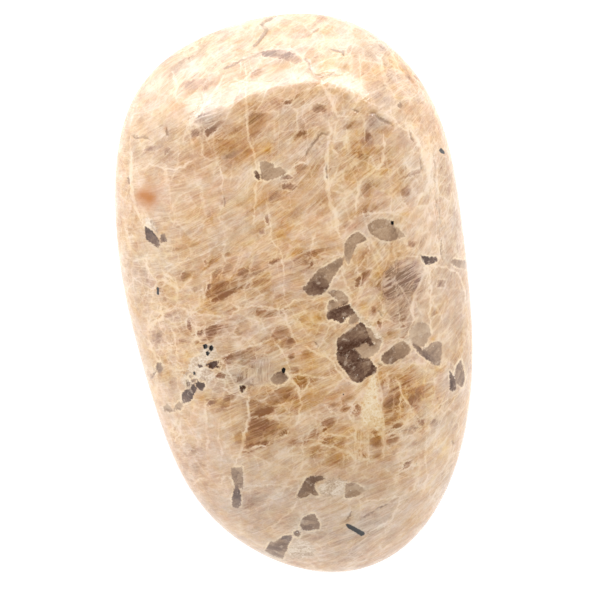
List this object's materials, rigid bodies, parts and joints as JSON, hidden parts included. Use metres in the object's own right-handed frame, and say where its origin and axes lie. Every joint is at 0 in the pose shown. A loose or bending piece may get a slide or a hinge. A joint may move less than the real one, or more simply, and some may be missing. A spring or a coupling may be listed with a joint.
{
  "type": "feldspar pebble",
  "caption": "Polished palm-sized stone of peach feldspar with cream seams and smoky quartz, flat-faced and round-rimmed, lying on its back.",
  "frame": {"origin": "middle of the stone's box, on the surface that it lies on", "axes": "+Y along the length towards the crown, +Z out of the polished face"},
  "size_m": [0.0546, 0.0852, 0.0286],
  "materials": {
    "polished_feldspar": "polished"
  },
  "bodies": {
    "root": {"pebble": "polished_feldspar"}
  },
  "joints": []
}
